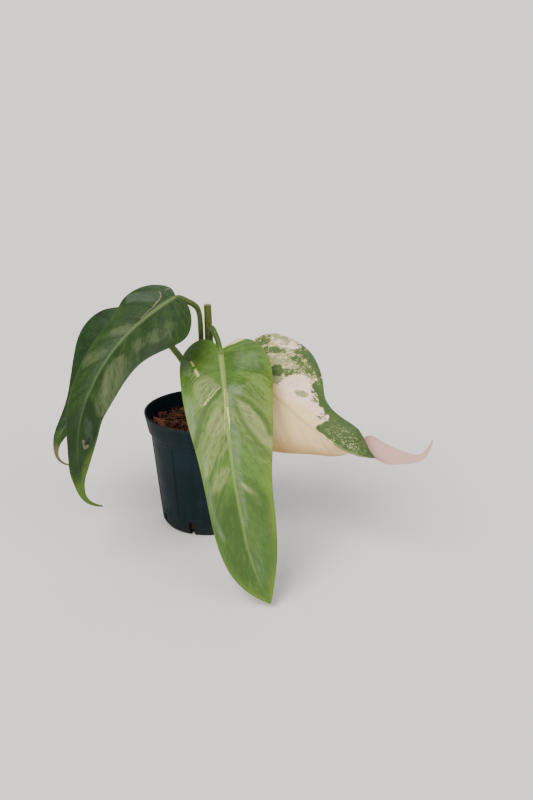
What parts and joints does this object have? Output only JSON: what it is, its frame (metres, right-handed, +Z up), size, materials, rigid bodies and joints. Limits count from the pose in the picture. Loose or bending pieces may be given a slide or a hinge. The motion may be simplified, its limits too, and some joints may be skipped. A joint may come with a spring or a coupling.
{
  "type": "potted variegated spadeleaf philodendron",
  "caption": "Young potted philodendron with long arrow-shaped green and cream leaves hanging on thin stalks from a short stem in a round nursery pot filled with bark mix.",
  "frame": {"origin": "centre of the pot's underside, on the surface that it stands on", "axes": "+Z up, -Y towards the front that the picture looks at, +X to the right of that view"},
  "size_m": [0.2999, 0.201, 0.2006],
  "materials": {
    "pot": "satin",
    "potting_mix": "matte",
    "stem": "satin",
    "petiole": "satin",
    "leaf_green": "satin",
    "leaf_yellow_green": "satin",
    "leaf_cream": "satin"
  },
  "bodies": {
    "root": {"pot": "pot", "potting_mix": "potting_mix", "stem": "stem", "petiole_front": "petiole", "petiole_left": "petiole", "petiole_back": "petiole", "petiole_right": "petiole", "leaf_front": "leaf_yellow_green", "leaf_left": "leaf_green", "leaf_back": "leaf_green", "leaf_right": "leaf_cream"}
  },
  "joints": []
}
